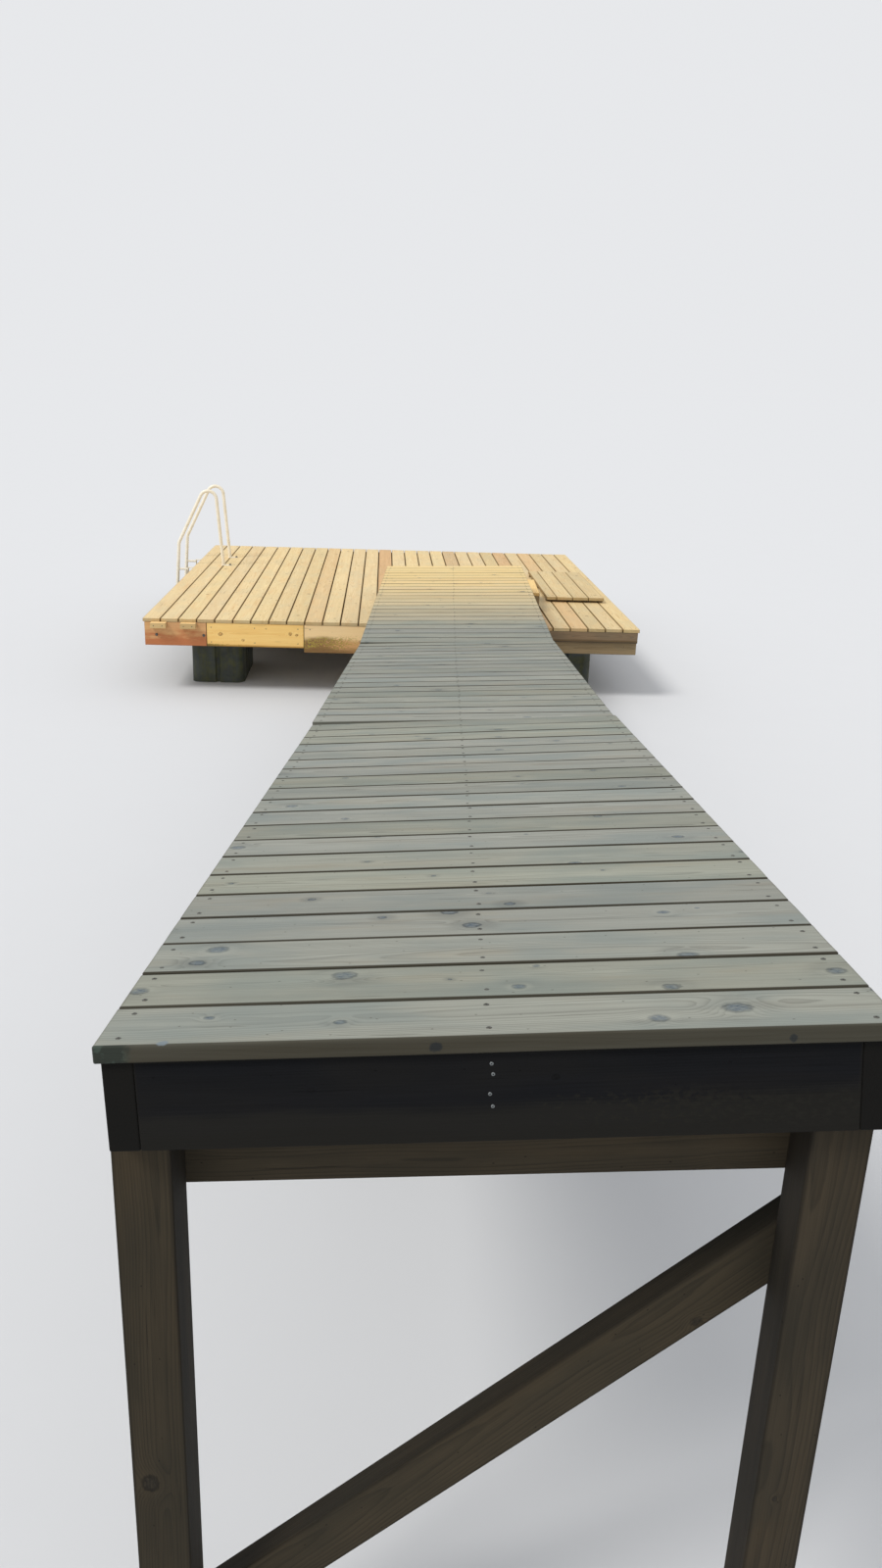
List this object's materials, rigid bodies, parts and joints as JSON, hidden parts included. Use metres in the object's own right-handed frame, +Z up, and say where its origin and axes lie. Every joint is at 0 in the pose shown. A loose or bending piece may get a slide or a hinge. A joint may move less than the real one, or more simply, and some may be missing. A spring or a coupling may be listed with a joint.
{
  "type": "wooden jetty",
  "caption": "Timber jetty: a narrow board gangway in sloping bays on post trestles, leading to a square floating platform with a tube ladder.",
  "frame": {"origin": "bottom centre of the whole jetty's box, on the level under the posts and floats", "axes": "+Y along the gangway from the shore to the lake, +Z up, +X to the right of someone walking out"},
  "size_m": [4.5915, 12.8037, 1.7151],
  "materials": {
    "gangway_boards": "treated pine, dry and slightly greyed",
    "platform_boards": "treated pine, dry",
    "header": "dark stained timber, damp",
    "dark_timber": "rough sawn, weathered dark",
    "old_timber": "rough sawn, weathered",
    "red_timber": "old red-brown stain, worn",
    "yellow_timber": "new pine with knots",
    "weathered_timber": "weathered, mossy at the bottom",
    "float_plastic": "moulded, matt",
    "ladder_paint": "cream paint, satin"
  },
  "bodies": {
    "root": {"shore_bay_boards_row": "gangway_boards", "middle_bay_boards_row": "gangway_boards", "outer_bay_boards_row": "gangway_boards", "shore_bay_stringers": "dark_timber", "middle_bay_stringers": "dark_timber", "outer_bay_stringers": "dark_timber", "shore_header": "header", "shore_bay_crosspieces": "dark_timber", "middle_bay_crosspieces": "dark_timber", "outer_bay_crosspieces": "dark_timber", "shore_posts": "dark_timber", "first_trestle_posts": "dark_timber", "second_trestle_posts": "dark_timber", "shore_cap": "dark_timber", "first_trestle_caps": "dark_timber", "second_trestle_caps": "dark_timber", "shore_brace": "dark_timber", "first_trestle_brace": "dark_timber", "second_trestle_brace": "dark_timber", "landing_step_boards": "platform_boards", "landing_step_bearers": "old_timber", "landing_wedges": "old_timber", "platform_boards": "platform_boards", "platform_joists": "old_timber", "left_rim": "old_timber", "right_rim": "old_timber", "back_rim": "old_timber", "front_beam": "old_timber", "old_red_beam": "red_timber", "packing_blocks": "platform_boards", "new_fascia": "yellow_timber", "weathered_fascia": "weathered_timber", "brown_fascia": "weathered_timber", "left_floats": "float_plastic", "right_floats": "float_plastic", "side_panel_boards": "platform_boards", "side_panel_battens": "old_timber", "near_rail": "ladder_paint", "far_rail": "ladder_paint", "ladder_treads": "ladder_paint", "rail_flanges": "ladder_paint", "standoff_arms": "ladder_paint"}
  },
  "joints": []
}
